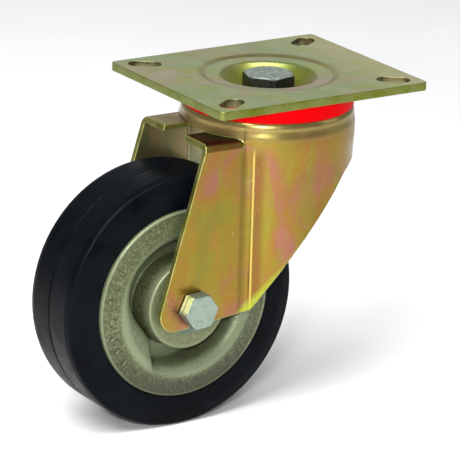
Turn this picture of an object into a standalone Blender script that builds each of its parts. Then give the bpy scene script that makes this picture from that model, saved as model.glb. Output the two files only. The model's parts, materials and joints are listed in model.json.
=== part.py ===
"""Heavy swivel castor wheel: a slotted top plate, a double ball race, a pressed steel fork
and a rubber-tyred cast-iron wheel on a roller bearing.

The origin is where the swivel axis meets the plate's mounting face. +Z is up, the wheel
trails towards -X, and the axle runs along Y."""

import math

import bmesh
import bpy
from mathutils import Matrix, Vector

MM = 0.001

# ---- driving dimensions -------------------------------------------------------------------
GAP = 0.3 * MM                  # clearance between pieces that touch

PLATE_LENGTH = 140 * MM
PLATE_WIDTH = 120 * MM
PLATE_THICKNESS = 5 * MM
PLATE_CORNER = 3 * MM
DISH_RADIUS = 42 * MM
DISH_DEPTH = 10.5 * MM
DISH_FLOOR = 17 * MM
DISH_SLOPE = [(40 * MM, -0.4 * MM), (37.5 * MM, -1.2 * MM), (29 * MM, -1.7 * MM),
              (26 * MM, -2.9 * MM), (18.5 * MM, -10 * MM)]       # (radius, height), going in
DISH_UNDERSIDE = [(41 * MM, -4.9 * MM), (40 * MM, -5.4 * MM), (37 * MM, -6.2 * MM),
                  (30.5 * MM, -6.7 * MM), (27.5 * MM, -8.2 * MM), (20.8 * MM, -14.4 * MM),
                  (18.5 * MM, -15.5 * MM)]

SLOT_X = 54.8 * MM
SLOT_Y = 46.6 * MM
SLOT_LENGTH = 19.2 * MM
SLOT_WIDTH = 11 * MM
SLOT_TURN = math.radians(35)

KINGPIN_RADIUS = 9 * MM
KINGPIN_FLATS = 27 * MM
KINGPIN_HEAD = 10 * MM
KINGPIN_TURN = math.radians(12)
KINGPIN_END = -48 * MM
KINGPIN_BORE = KINGPIN_RADIUS + GAP

SHEET = 3.5 * MM                # thickness of the fork's steel
CROWN_TOP = -15 * MM
CROWN_BORE = 21.5 * MM
DRUM_RADIUS = 50 * MM
DRUM_SWELL = [(0, -20.5 * MM), (0.2 * MM, -25 * MM), (1 * MM, -31 * MM),
              (0.6 * MM, -36 * MM), (0, -41 * MM)]      # (growth in radius, height)
DRUM_ROUNDING = 5.5 * MM
CHEEK_HALF = 35 * MM            # centre plane to a fork leg's outer face
SHOULDER_Z = -26.5 * MM
SHOULDER_BEND = 5 * MM
SHOULDER_FRONT = -62.4 * MM
NOTCH_HALF = 11 * MM            # half width of the opening between the two shoulders

SEAL_OUTER = 49.7 * MM
SEAL_INNER = 42.6 * MM
SEAL_WALL = 2.5 * MM
SEAL_FLANGE = 1.5 * MM
SEAL_BOTTOM = -17.2 * MM

UPPER_BALL = 4.25 * MM
UPPER_PITCH = 34 * MM
UPPER_COUNT = 16
UPPER_Z = -11.2 * MM
LOWER_BALL = 3.5 * MM
LOWER_PITCH = 26.5 * MM
LOWER_COUNT = 14
LOWER_Z = -22.35 * MM
CUP_TOP = -25.6 * MM
CUP_THICKNESS = 3.6 * MM
CUP_RADIUS = 34 * MM

AXLE_X = -68.5 * MM
AXLE_Z = -122 * MM
AXLE_RADIUS = 6 * MM
AXLE_BORE = AXLE_RADIUS + GAP
AXLE_FLATS = 19 * MM
AXLE_HEAD = 8.5 * MM
AXLE_TURN = math.radians(5)

WHEEL_RADIUS = 75 * MM
TYRE_HALF = 22.5 * MM
RIM_RADIUS = 55.5 * MM
RIM_HALF = 23.8 * MM
CREST_RADIUS = 42 * MM
CREST_HALF = 27.5 * MM
WEB_HALF = 12 * MM
BOSS_RADIUS = 25.8 * MM
BOSS_HALF = 28.8 * MM
SPACER_RADIUS = 16.3 * MM
TUBE_RADIUS = 10 * MM
ROLLER_RADIUS = 1.75 * MM
ROLLER_PITCH = 12.1 * MM
ROLLER_HALF = 24 * MM
ROLLER_COUNT = 12
HUB_BORE = 14.2 * MM

OBJECT_NAME = "swivel_castor_wheel"

# ---- collections and materials ------------------------------------------------------------


def new_collection(name):
    collection = bpy.data.collections.new(name)
    bpy.context.scene.collection.children.link(collection)
    return collection


def clear_scene():
    for obj in list(bpy.context.scene.objects):
        bpy.data.objects.remove(obj, do_unlink=True)


clear_scene()
PARTS = new_collection(OBJECT_NAME)
CUTTERS = new_collection("cutters")


def finish_of(name, colour, roughness, metallic):
    material = bpy.data.materials.new(name)
    material.use_nodes = True
    shader = material.node_tree.nodes["Principled BSDF"]
    shader.inputs["Base Color"].default_value = (*colour, 1.0)
    shader.inputs["Roughness"].default_value = roughness
    shader.inputs["Metallic"].default_value = metallic
    return material


OLIVE_ZINC = finish_of("olive_zinc", (0.36, 0.42, 0.22), 0.35, 0.9)
YELLOW_ZINC = finish_of("yellow_zinc", (0.55, 0.36, 0.12), 0.33, 0.9)
RED_PLASTIC = finish_of("red_plastic", (0.80, 0.01, 0.01), 0.40, 0.0)
BLACK_STEEL = finish_of("black_steel", (0.03, 0.035, 0.035), 0.45, 0.6)
CLEAR_ZINC = finish_of("clear_zinc", (0.55, 0.62, 0.56), 0.28, 1.0)
BEARING_STEEL = finish_of("bearing_steel", (0.60, 0.60, 0.62), 0.18, 1.0)
CAGE_STEEL = finish_of("cage_steel", (0.45, 0.42, 0.36), 0.40, 0.9)
CAST_IRON = finish_of("cast_iron", (0.20, 0.23, 0.13), 0.60, 0.5)
BLACK_RUBBER = finish_of("black_rubber", (0.02, 0.023, 0.03), 0.55, 0.0)

# ---- shared shapes ------------------------------------------------------------------------


def new_object(name, mesh, material=None, parent=None, location=(0, 0, 0), rotation=(0, 0, 0)):
    """A mesh with a material is a part. One without is a cutter."""
    obj = bpy.data.objects.new(name, mesh)
    obj.location = location
    obj.rotation_euler = rotation
    if material is None:
        CUTTERS.objects.link(obj)
        obj.hide_render = True
        obj.display_type = "WIRE"
    else:
        PARTS.objects.link(obj)
        mesh.materials.append(material)
        mesh.shade_smooth()
        mesh.set_sharp_from_angle(angle=math.radians(30))
    if parent is not None:
        obj.parent = parent
    return obj


def pivot(name, location=(0, 0, 0), parent=None):
    empty = bpy.data.objects.new(name, None)
    empty.location = location
    empty.parent = parent
    PARTS.objects.link(empty)
    return empty


def turned(name, profile, steps, material=None, closed=True, **placing):
    """A profile of (radius, height) points, turned about local Z.

    The outer side runs from top to bottom. A closed profile is a ring, and an open one
    starts and ends on the axis."""
    bm = bmesh.new()
    points = [bm.verts.new((radius, 0, height)) for radius, height in profile]
    for first, second in zip(points, points[1:]):
        bm.edges.new((first, second))
    if closed:
        bm.edges.new((points[-1], points[0]))
    mesh = bpy.data.meshes.new(name)
    bm.to_mesh(mesh)
    bm.free()
    obj = new_object(name, mesh, material, **placing)
    screw = obj.modifiers.new("turn", "SCREW")
    screw.steps = steps
    screw.render_steps = steps
    screw.use_merge_vertices = True
    screw.merge_threshold = 1e-6
    return obj


def prism(name, outline, low, high, material=None, **placing):
    """A flat outline of (x, y) points, raised from low to high along local Z."""
    bm = bmesh.new()
    face = bm.faces.new([bm.verts.new((x, y, low)) for x, y in outline])
    raised = bmesh.ops.extrude_face_region(bm, geom=[face])
    top = [item for item in raised["geom"] if isinstance(item, bmesh.types.BMVert)]
    bmesh.ops.translate(bm, verts=top, vec=(0, 0, high - low))
    bmesh.ops.recalc_face_normals(bm, faces=bm.faces)
    mesh = bpy.data.meshes.new(name)
    bm.to_mesh(mesh)
    bm.free()
    return new_object(name, mesh, material, **placing)


def arc(centre, radius, start, end, steps):
    """Points on a circle, from one angle to another in degrees, both ends included."""
    angles = [math.radians(start + (end - start) * i / steps) for i in range(steps + 1)]
    return [(centre[0] + radius * math.cos(a), centre[1] + radius * math.sin(a)) for a in angles]


def rounded(corners, steps=4):
    """An outline from corners given as (x, y, radius), each turned into an arc."""
    outline = []
    count = len(corners)
    for i, (x, y, radius) in enumerate(corners):
        corner = Vector((x, y))
        if radius == 0:
            outline.append((x, y))
            continue
        before = (Vector(corners[i - 1][:2]) - corner).normalized()
        after = (Vector(corners[(i + 1) % count][:2]) - corner).normalized()
        half = before.angle(after) / 2
        centre = corner + (before + after).normalized() * radius / math.sin(half)
        first = corner + before * radius / math.tan(half) - centre
        last = corner + after * radius / math.tan(half) - centre
        sweep = first.angle_signed(last)
        for k in range(steps + 1):
            turn = Matrix.Rotation(-sweep * k / steps, 2)
            outline.append(tuple(centre + turn @ first))
    return outline


def box(name, low, high):
    bm = bmesh.new()
    bmesh.ops.create_cube(bm, size=1.0)
    for vert in bm.verts:
        for axis in range(3):
            vert.co[axis] = high[axis] if vert.co[axis] > 0 else low[axis]
    mesh = bpy.data.meshes.new(name)
    bm.to_mesh(mesh)
    bm.free()
    return new_object(name, mesh)


def boolean(obj, other, operation):
    modifier = obj.modifiers.new(other.name, "BOOLEAN")
    modifier.operation = operation
    modifier.object = other
    modifier.solver = "EXACT"


def tidy(obj):
    """Merges the points that two cuts have left within a hundredth of a millimetre."""
    weld = obj.modifiers.new("tidy", "WELD")
    weld.merge_threshold = 0.01 * MM


def hexagonal(name, flats, profile, material, closed=False, **placing):
    """A hexagon bar along local Z, trimmed to a turned profile: chamfers, and shank or bore."""
    heights = [height for _, height in profile]
    corner = flats / math.sqrt(3)
    bm = bmesh.new()
    bmesh.ops.create_cone(bm, cap_ends=True, segments=6, radius1=corner, radius2=corner,
                          depth=max(heights) - min(heights) + 2 * MM)
    bmesh.ops.rotate(bm, verts=bm.verts, matrix=Matrix.Rotation(math.radians(90), 3, "Z"))
    bmesh.ops.translate(bm, verts=bm.verts, vec=(0, 0, (max(heights) + min(heights)) / 2))
    mesh = bpy.data.meshes.new(name)
    bm.to_mesh(mesh)
    bm.free()
    obj = new_object(name, mesh, material, **placing)
    trim = turned(f"{name}_trim", profile, 24, closed=closed, parent=obj)
    boolean(obj, trim, "INTERSECT")
    tidy(obj)
    return obj


def head_profile(flats, head, shank, length):
    """A bolt whose head stands on height 0 and whose shank runs down from there."""
    corner = flats / math.sqrt(3) + 0.2 * MM
    flat = flats / 2 * 0.96
    drop = (corner - flat) * math.tan(math.radians(28))
    point = 1.2 * MM
    return [(0, head), (flat, head), (corner, head - drop), (corner, 0), (shank, 0),
            (shank, point - length), (shank - point, -length), (0, -length)]


def nut_profile(flats, height, bore):
    """A nut that stands on height 0, chamfered at both ends."""
    corner = flats / math.sqrt(3) + 0.2 * MM
    flat = flats / 2 * 0.96
    drop = (corner - flat) * math.tan(math.radians(28))
    return [(bore, height), (flat, height), (corner, height - drop), (corner, drop),
            (flat, 0), (bore, 0)]


ALONG_AXLE = (math.radians(90), 0, 0)       # local +Z turned to the near side, -Y

# ---- swivel head --------------------------------------------------------------------------


def top_plate():
    """The slotted plate, with a round dish pressed into it for the kingpin's head."""
    half_x, half_y = PLATE_LENGTH / 2, PLATE_WIDTH / 2
    outline = rounded([(half_x, half_y, PLATE_CORNER), (-half_x, half_y, PLATE_CORNER),
                       (-half_x, -half_y, PLATE_CORNER), (half_x, -half_y, PLATE_CORNER)])
    plate = prism("top_plate", outline, -PLATE_THICKNESS, 0, OLIVE_ZINC)
    steps = 48
    above = 1 * MM
    inside = -2 * MM                        # a height within the plate's thickness
    hollow = [(0, above), (DISH_RADIUS, above), (DISH_RADIUS, 0), *DISH_SLOPE,
              (DISH_FLOOR, -DISH_DEPTH), (0, -DISH_DEPTH)]
    bulge = [(0, inside), (DISH_UNDERSIDE[0][0], inside), *DISH_UNDERSIDE,
             (0, DISH_UNDERSIDE[-1][1])]
    boolean(plate, turned("dish_bulge", bulge, steps, closed=False), "UNION")
    boolean(plate, turned("dish_hollow", hollow, steps, closed=False), "DIFFERENCE")
    below = -20 * MM
    bore = [(0, above), (KINGPIN_BORE, above), (KINGPIN_BORE, below), (0, below)]
    boolean(plate, turned("plate_bore", bore, 32, closed=False), "DIFFERENCE")
    run = (SLOT_LENGTH - SLOT_WIDTH) / 2
    slot = (arc((run, 0), SLOT_WIDTH / 2, -90, 90, 8) + arc((-run, 0), SLOT_WIDTH / 2, 90, 270, 8))
    for side_x in (-1, 1):
        for side_y in (-1, 1):
            cutter = prism(f"slot_{side_x}_{side_y}", slot, -PLATE_THICKNESS - above, above,
                           location=(side_x * SLOT_X, side_y * SLOT_Y, 0),
                           rotation=(0, 0, side_x * side_y * SLOT_TURN))
            boolean(plate, cutter, "DIFFERENCE")
    tidy(plate)


def kingpin():
    """The bolt through the middle, its nut, and the sleeve that sets the race's clearance."""
    seat = -DISH_DEPTH + GAP
    hexagonal("kingpin_bolt", KINGPIN_FLATS,
              head_profile(KINGPIN_FLATS, KINGPIN_HEAD, KINGPIN_RADIUS, seat - KINGPIN_END),
              BLACK_STEEL, location=(0, 0, seat), rotation=(0, 0, KINGPIN_TURN))
    nut_height = 14.5 * MM
    hexagonal("kingpin_nut", KINGPIN_FLATS,
              nut_profile(KINGPIN_FLATS, nut_height, KINGPIN_BORE), CLEAR_ZINC, closed=True,
              location=(0, 0, CUP_TOP - CUP_THICKNESS - GAP - nut_height))
    sleeve_radius = 13 * MM
    sleeve_top = -DISH_DEPTH - PLATE_THICKNESS - GAP
    sleeve_low = CUP_TOP + GAP
    turned("kingpin_sleeve", [(KINGPIN_BORE, sleeve_top), (sleeve_radius, sleeve_top),
                              (sleeve_radius, sleeve_low), (KINGPIN_BORE, sleeve_low)],
           32, BEARING_STEEL)


def race_groove(pitch, ball_radius, ball_z, level, steps=3):
    """The arc of a ball track in a flat face under the balls, from outside to inside."""
    radius = ball_radius + GAP
    reach = math.degrees(math.acos((ball_z - level) / radius))
    return arc((pitch, ball_z), radius, -90 + reach, -90 - reach, steps)


def lower_race_cup():
    """The pressed cup under the lower balls, with a turned-up rim."""
    groove = race_groove(LOWER_PITCH, LOWER_BALL, LOWER_Z, CUP_TOP)
    rim_top = -20.5 * MM
    wall = 2.5 * MM
    bottom = CUP_TOP - CUP_THICKNESS
    profile = [(CUP_RADIUS - wall, rim_top), (CUP_RADIUS, rim_top),
               (CUP_RADIUS, bottom + wall), (CUP_RADIUS - wall, bottom),
               (KINGPIN_BORE, bottom), (KINGPIN_BORE, CUP_TOP)]
    profile += list(reversed(groove)) + [(CUP_RADIUS - wall, CUP_TOP)]
    turned("lower_race_cup", profile, 36, YELLOW_ZINC)


def dust_seal_ring():
    """The red ring that hides the ball race between the plate and the fork's drum."""
    top = -PLATE_THICKNESS - GAP
    wall_in = SEAL_OUTER - SEAL_WALL
    profile = [(SEAL_INNER, top), (SEAL_OUTER, top), (SEAL_OUTER, SEAL_BOTTOM),
               (SEAL_OUTER - 0.8 * MM, SEAL_BOTTOM + 0.4 * MM),
               (wall_in, SEAL_BOTTOM + 2 * MM), (wall_in, top - SEAL_FLANGE),
               (SEAL_INNER, top - SEAL_FLANGE)]
    turned("dust_seal_ring", profile, 60, RED_PLASTIC)


def stamping(name, outlines, thickness, material, parent, height):
    """A flat sheet with holes: the first outline is its edge and the others are cut out."""
    curve = bpy.data.curves.new(name, "CURVE")
    curve.dimensions = "2D"
    curve.fill_mode = "BOTH"
    curve.extrude = thickness / 2
    for outline in outlines:
        spline = curve.splines.new("POLY")
        spline.points.add(len(outline) - 1)
        for point, (x, y) in zip(spline.points, outline):
            point.co = (x, y, 0, 1)
        spline.use_cyclic_u = True
    curve.materials.append(material)
    obj = bpy.data.objects.new(name, curve)
    obj.location.z = height
    obj.parent = parent
    PARTS.objects.link(obj)


def ball_row(prefix, count, pitch, height, radius, carrier):
    """Balls on a circle, with a thin retainer that keeps them apart."""
    ball = bpy.data.meshes.new(f"{prefix}_ball")
    bm = bmesh.new()
    bmesh.ops.create_icosphere(bm, subdivisions=2, radius=radius)
    bm.to_mesh(ball)
    bm.free()
    margin = 0.8 * MM
    reach = radius + GAP + margin
    outlines = [arc((0, 0), pitch + reach, 0, 360, 48)[1:],
                arc((0, 0), pitch - reach, 0, 360, 36)[1:]]
    for i in range(count):
        turn = 2 * math.pi * i / count
        centre = (pitch * math.cos(turn), pitch * math.sin(turn))
        outlines.append(arc(centre, radius + GAP, 0, 360, 10)[1:])
        new_object(f"{prefix}_ball_{i + 1:02d}", ball, BEARING_STEEL, parent=carrier,
                   location=(*centre, height))
    stamping(f"{prefix}_ball_cage", outlines, 1.2 * MM, CAGE_STEEL, carrier, height)


# ---- fork ---------------------------------------------------------------------------------


def leg_outline():
    """The fork seen from the side, as (x, z) points: everything outside it is cut away."""
    top = 10 * MM
    back = 60 * MM
    lean = math.radians(16.4)               # front edge, from the vertical
    bottom_z = -133.2 * MM                  # height of the lower edge under the axle
    bottom_rise = math.radians(6)
    foot_front = SHOULDER_FRONT - (SHOULDER_Z - bottom_z) * math.tan(lean) - 0.9 * MM
    foot_front_z = bottom_z - 2.6 * MM
    heel_x = -33 * MM
    heel_z = bottom_z + (heel_x - AXLE_X) * math.tan(bottom_rise)
    rear_start = (-27 * MM, -118.5 * MM)
    rear_end = (22 * MM, -56 * MM)
    corners = [(SHOULDER_FRONT, top, 0), (SHOULDER_FRONT, SHOULDER_Z, 0),
               (foot_front, foot_front_z, 10 * MM), (heel_x, heel_z, 9 * MM),
               (*rear_start, 0)]
    outline = rounded(corners, steps=6)
    outline += sagging_arc(rear_start, rear_end, 2.1 * MM, 6)[1:]
    sweep = 46
    bend = (back - rear_end[0]) / 1.6
    centre = (rear_end[0] + bend * math.sin(math.radians(sweep)),
              rear_end[1] - bend * math.cos(math.radians(sweep)))
    outline += arc(centre, bend, 90 + sweep, 90, 6)[1:]
    return outline + [(back, outline[-1][1]), (back, top)]


def sagging_arc(start, end, sag, steps):
    """Points on the arc from start to end that bulges to the left of its chord by sag."""
    a, b = Vector(start), Vector(end)
    chord = b - a
    radius = chord.length ** 2 / (8 * sag) + sag / 2
    normal = Vector((-chord.y, chord.x)).normalized()
    centre = (a + b) / 2 - normal * (radius - sag)
    sweep = 2 * math.asin(chord.length / 2 / radius)
    return [tuple(centre + Matrix.Rotation(-sweep * k / steps, 2) @ (a - centre))
            for k in range(steps + 1)]


def channel(name, half, top, bend, low, front, back, material=None):
    """A block between the legs' faces with its two upper edges rounded, along X."""
    outline = rounded([(half, top, bend), (-half, top, bend), (-half, low, 0), (half, low, 0)])
    turn = Matrix(((0, 0, 1), (1, 0, 0), (0, 1, 0)))
    obj = prism(name, outline, front, back, material)
    obj.data.transform(turn.to_4x4())
    return obj


def drum_side(inset):
    """The drum's wall as (radius, height), bulging slightly between its two ends."""
    return [(DRUM_RADIUS + growth - inset, height) for growth, height in DRUM_SWELL]


def fork():
    """One pressed piece: the ball-race crown, the half drum behind it and two flat legs."""
    low = -140 * MM
    front = -100 * MM
    steel = channel("fork", CHEEK_HALF, SHOULDER_Z, SHOULDER_BEND, low, front, -30 * MM,
                    YELLOW_ZINC)
    steps = 72
    below = 1 * MM
    groove = race_groove(UPPER_PITCH, UPPER_BALL, UPPER_Z, CROWN_TOP)
    rounding = arc((DRUM_RADIUS - DRUM_ROUNDING, CROWN_TOP - DRUM_ROUNDING), DRUM_ROUNDING,
                   90, 0, 4)[:-1]
    drum = [(0, CROWN_TOP)] + list(reversed(groove)) + rounding + drum_side(0)
    drum += [(DRUM_RADIUS, low - below), (0, low - below)]
    boolean(steel, turned("fork_drum", drum, steps, closed=False), "UNION")
    inner = channel("leg_space", CHEEK_HALF - SHEET, SHOULDER_Z - SHEET, SHOULDER_BEND - SHEET,
                    low - 2 * below, front - below, -25 * MM)
    boolean(steel, inner, "DIFFERENCE")
    under = CROWN_TOP - SHEET
    hollow = [(0, under), (DRUM_RADIUS - DRUM_ROUNDING, under)]
    hollow += arc((DRUM_RADIUS - DRUM_ROUNDING, CROWN_TOP - DRUM_ROUNDING),
                  DRUM_ROUNDING - SHEET, 90, 0, 3)[1:-1]
    hollow += drum_side(SHEET) + [(DRUM_RADIUS - SHEET, low - 3 * below), (0, low - 3 * below)]
    boolean(steel, turned("drum_space", hollow, steps, closed=False), "DIFFERENCE")
    side = prism("side_outline", leg_outline(), -60 * MM, 60 * MM, rotation=ALONG_AXLE)
    boolean(steel, side, "INTERSECT")
    boolean(steel, box("front_notch", (front - 2 * below, -NOTCH_HALF, -45 * MM),
                       (-30 * MM, NOTCH_HALF, SHOULDER_Z + 0.2 * MM)), "DIFFERENCE")
    bore = [(0, 0), (CROWN_BORE, 0), (CROWN_BORE, -24 * MM), (0, -24 * MM)]
    boolean(steel, turned("crown_bore", bore, 36, closed=False), "DIFFERENCE")
    hole = [(0, 60 * MM), (AXLE_BORE, 60 * MM), (AXLE_BORE, -60 * MM), (0, -60 * MM)]
    boolean(steel, turned("axle_hole", hole, 24, closed=False, location=(AXLE_X, 0, AXLE_Z),
                          rotation=ALONG_AXLE), "DIFFERENCE")
    tidy(steel)
    return steel


def axle(carrier):
    """The bolt across the legs with its nut, and what it clamps between them."""
    head_seat = CHEEK_HALF + GAP
    tip = 49 * MM
    hexagonal("axle_bolt", AXLE_FLATS,
              head_profile(AXLE_FLATS, AXLE_HEAD, AXLE_RADIUS, head_seat + tip), CLEAR_ZINC,
              parent=carrier, location=(0, -head_seat, 0),
              rotation=(ALONG_AXLE[0], -AXLE_TURN, 0))
    nut_height = 10.5 * MM
    hexagonal("axle_nut", AXLE_FLATS, nut_profile(AXLE_FLATS, nut_height, AXLE_BORE),
              CLEAR_ZINC, closed=True, parent=carrier,
              location=(0, head_seat + nut_height, 0), rotation=ALONG_AXLE)
    spacer_out = CHEEK_HALF - SHEET - GAP
    spacer_in = BOSS_HALF + 2 * GAP
    spacer = [(AXLE_BORE, spacer_out), (SPACER_RADIUS, spacer_out),
              (SPACER_RADIUS, spacer_in), (AXLE_BORE, spacer_in)]
    for label, turn in (("near", 1), ("far", -1)):
        turned(f"axle_spacer_{label}", spacer, 40, CLEAR_ZINC, parent=carrier,
               rotation=(turn * ALONG_AXLE[0], 0, 0))
    tube_half = spacer_in - GAP
    turned("axle_tube", [(AXLE_BORE, tube_half), (TUBE_RADIUS, tube_half),
                         (TUBE_RADIUS, -tube_half), (AXLE_BORE, -tube_half)],
           32, BEARING_STEEL, parent=carrier, rotation=ALONG_AXLE)


# ---- wheel --------------------------------------------------------------------------------


def wheel_centre(carrier):
    """The cast-iron centre: rim, rounded crest, deep ring-shaped recess, and hub boss."""
    half = [(RIM_RADIUS, RIM_HALF), (RIM_RADIUS - 1.5 * MM, RIM_HALF + 0.9 * MM),
            (48 * MM, 26.2 * MM), (45 * MM, 27.1 * MM), (CREST_RADIUS, CREST_HALF),
            (39.3 * MM, 26.6 * MM), (37.2 * MM, 24.4 * MM), (36 * MM, 20 * MM),
            (34.5 * MM, WEB_HALF + 1.5 * MM),
            (33 * MM, WEB_HALF), (BOSS_RADIUS + 3 * MM, WEB_HALF),
            (BOSS_RADIUS + 1 * MM, WEB_HALF + 2 * MM), (BOSS_RADIUS, BOSS_HALF - 1 * MM),
            (BOSS_RADIUS - 1 * MM, BOSS_HALF), (HUB_BORE, BOSS_HALF)]
    far_half = [(radius, -height) for radius, height in half]
    wheel = turned("wheel_centre", far_half + half[::-1], 48, CAST_IRON, parent=carrier,
                   rotation=ALONG_AXLE)
    lug_edge = [(39.5, 165), (37.4, 175), (34.7, 187), (32, 199), (30.9, 209), (30.8, 218)]
    first_side, last_side = 163, 237        # where the lug starts and ends, in degrees
    outer_end = 42.5 * MM
    pad = [point for radius, angle in lug_edge
           for point in arc((0, 0), radius * MM, angle, angle, 1)[:1]]
    pad += arc((0, 0), outer_end, last_side, first_side, 8)
    lug = prism("spiral_lug", pad, WEB_HALF - 1 * MM, CREST_HALF - 0.4 * MM, parent=wheel)
    boolean(wheel, lug, "UNION")
    tidy(wheel)


def tyre(carrier):
    """The rubber tyre, bonded round the rim: flat tread, rounded shoulders, bowed sides."""
    inner = RIM_RADIUS + GAP
    half = [(inner, TYRE_HALF), (61 * MM, TYRE_HALF + 0.8 * MM), (68 * MM, TYRE_HALF + 0.2 * MM),
            (73.2 * MM, TYRE_HALF - 0.9 * MM), (WHEEL_RADIUS - 0.4 * MM, 20.8 * MM),
            (WHEEL_RADIUS, 18.5 * MM)]
    far_half = [(radius, -height) for radius, height in reversed(half)]
    turned("tyre", half + far_half, 60, BLACK_RUBBER, parent=carrier, rotation=ALONG_AXLE)


def roller_bearing(carrier):
    """Long rollers between the hub's bore and the axle tube, in a slotted cage."""
    cage_half = 27.8 * MM
    wall = 0.55 * MM
    steps = 48
    tube = [(ROLLER_PITCH + wall, cage_half), (ROLLER_PITCH + wall, -cage_half),
            (ROLLER_PITCH - wall, -cage_half), (ROLLER_PITCH - wall, cage_half)]
    cage = turned("roller_cage", tube, steps, CAGE_STEEL, parent=carrier, rotation=ALONG_AXLE)
    roller = [(0, ROLLER_HALF), (ROLLER_RADIUS, ROLLER_HALF), (ROLLER_RADIUS, -ROLLER_HALF),
              (0, -ROLLER_HALF)]
    room = ROLLER_RADIUS + GAP
    length = ROLLER_HALF + GAP
    for i in range(ROLLER_COUNT):
        turn = 2 * math.pi * (i + 0.5) / ROLLER_COUNT
        place = (ROLLER_PITCH * math.cos(turn), 0, ROLLER_PITCH * math.sin(turn))
        turned(f"roller_{i + 1:02d}", roller, 12, BEARING_STEEL, closed=False, parent=carrier,
               location=place, rotation=ALONG_AXLE)
        window = box(f"roller_window_{i + 1:02d}", (-3 * MM, -length, -room),
                     (3 * MM, length, room))
        window.location = place
        window.rotation_euler = (0, -turn, 0)
        window.parent = carrier
        boolean(cage, window, "DIFFERENCE")
    tidy(cage)


# ---- assembly -----------------------------------------------------------------------------


def assemble():
    swivel = pivot("swivel_axis")
    upper_row = pivot("upper_ball_row")
    lower_row = pivot("lower_ball_row")
    wheel_axis = pivot("wheel_axis", (AXLE_X, 0, AXLE_Z), swivel)
    roller_row = pivot("roller_row", (AXLE_X, 0, AXLE_Z), swivel)
    axle_line = pivot("axle_line", (AXLE_X, 0, AXLE_Z), swivel)
    top_plate()
    kingpin()
    lower_race_cup()
    dust_seal_ring()
    ball_row("upper", UPPER_COUNT, UPPER_PITCH, UPPER_Z, UPPER_BALL, upper_row)
    ball_row("lower", LOWER_COUNT, LOWER_PITCH, LOWER_Z, LOWER_BALL, lower_row)
    fork().parent = swivel
    axle(axle_line)
    wheel_centre(wheel_axis)
    tyre(wheel_axis)
    roller_bearing(roller_row)


assemble()
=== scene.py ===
"""Looks for the swivel castor: finer meshes, procedural finishes, soft light and a camera.

Lengths are in millimetres until a mesh is made. The swivel axis is Z, the wheel trails
towards -X, and the axle runs along Y."""

import json
import math

import bmesh
import bpy
from mathutils import Matrix, Vector


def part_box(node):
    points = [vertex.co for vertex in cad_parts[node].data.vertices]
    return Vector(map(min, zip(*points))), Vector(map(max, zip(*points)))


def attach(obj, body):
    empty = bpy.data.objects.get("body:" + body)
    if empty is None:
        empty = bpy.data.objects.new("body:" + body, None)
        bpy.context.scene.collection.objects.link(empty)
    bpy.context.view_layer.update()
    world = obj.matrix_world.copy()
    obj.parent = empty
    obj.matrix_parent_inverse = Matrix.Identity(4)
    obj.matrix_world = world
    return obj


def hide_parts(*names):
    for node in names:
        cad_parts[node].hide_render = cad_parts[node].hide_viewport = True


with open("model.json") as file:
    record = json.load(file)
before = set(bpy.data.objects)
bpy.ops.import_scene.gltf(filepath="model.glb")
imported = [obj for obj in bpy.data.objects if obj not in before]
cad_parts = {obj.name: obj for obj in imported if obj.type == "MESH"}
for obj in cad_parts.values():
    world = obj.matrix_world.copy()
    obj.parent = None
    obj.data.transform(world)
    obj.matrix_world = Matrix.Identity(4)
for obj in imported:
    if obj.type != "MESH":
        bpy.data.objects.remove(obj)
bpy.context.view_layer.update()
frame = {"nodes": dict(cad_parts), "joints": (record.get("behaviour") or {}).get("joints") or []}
MM = 0.001


def box_mm(node):
    """Lowest and highest corner of a CAD node, in millimetres."""
    low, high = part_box(node)
    return Vector(low) / MM, Vector(high) / MM


# ---- driving dimensions -------------------------------------------------------------------
JOINTS = {joint["name"]: joint for joint in frame["joints"]}
AXLE_X, _, AXLE_Z = (value / MM for value in JOINTS["wheel_spin"]["pos_m"])

PLATE_HIGH = box_mm("top_plate")[1]
PLATE_HALF_X, PLATE_HALF_Y = PLATE_HIGH.x, PLATE_HIGH.y
PLATE_THICKNESS = 5
PLATE_CORNER = 3
DISH_RADIUS = 42
DISH_FLOOR_Z = -10.5
SLOT_X, SLOT_Y = 54.8, 46.6
SLOT_LENGTH, SLOT_WIDTH = 19.2, 11
SLOT_TURN = math.radians(35)

KINGPIN_RADIUS = 9
KINGPIN_FLATS = 27
KINGPIN_TURN = math.radians(12)
KINGPIN_END = box_mm("kingpin_bolt")[0].z
KINGPIN_THREAD_TOP = -24        # under the head
KINGPIN_PITCH = 2.5

SHEET = 3.5
CROWN_TOP = box_mm("fork")[1].z
CROWN_BORE = 21.5
DRUM_RADIUS = 50
DRUM_ROUNDING = 5.5
DRUM_SWELL = [(0, -21), (0.8, -27), (0.8, -29), (0, -50)]
CHEEK_HALF = 35
SHOULDER_Z = -26.5
SHOULDER_BEND = 5
SHOULDER_FRONT = -62.4
NOTCH_HALF = 11
BEAD_ANGLE = 228.9              # where the pressed bead runs down the drum, in degrees
BEAD_HEIGHT = 0.5
BEAD_WIDTH = 1.0                # of the bell curve, in degrees
BEAD_TOP = -30                  # the bead grows from nothing over BEAD_FADE below this
BEAD_FADE = 8
REAR_START = (-27, -118.5)      # the fork's sloping rear edge, as (x, z)
REAR_END = (22, -56)

AXLE_RADIUS = 6
AXLE_FLATS = 19
AXLE_HEAD = 8.5
AXLE_THREAD_TOP = -60           # under the head
AXLE_PITCH = 1.75
AXLE_TURN = math.radians(5)

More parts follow.
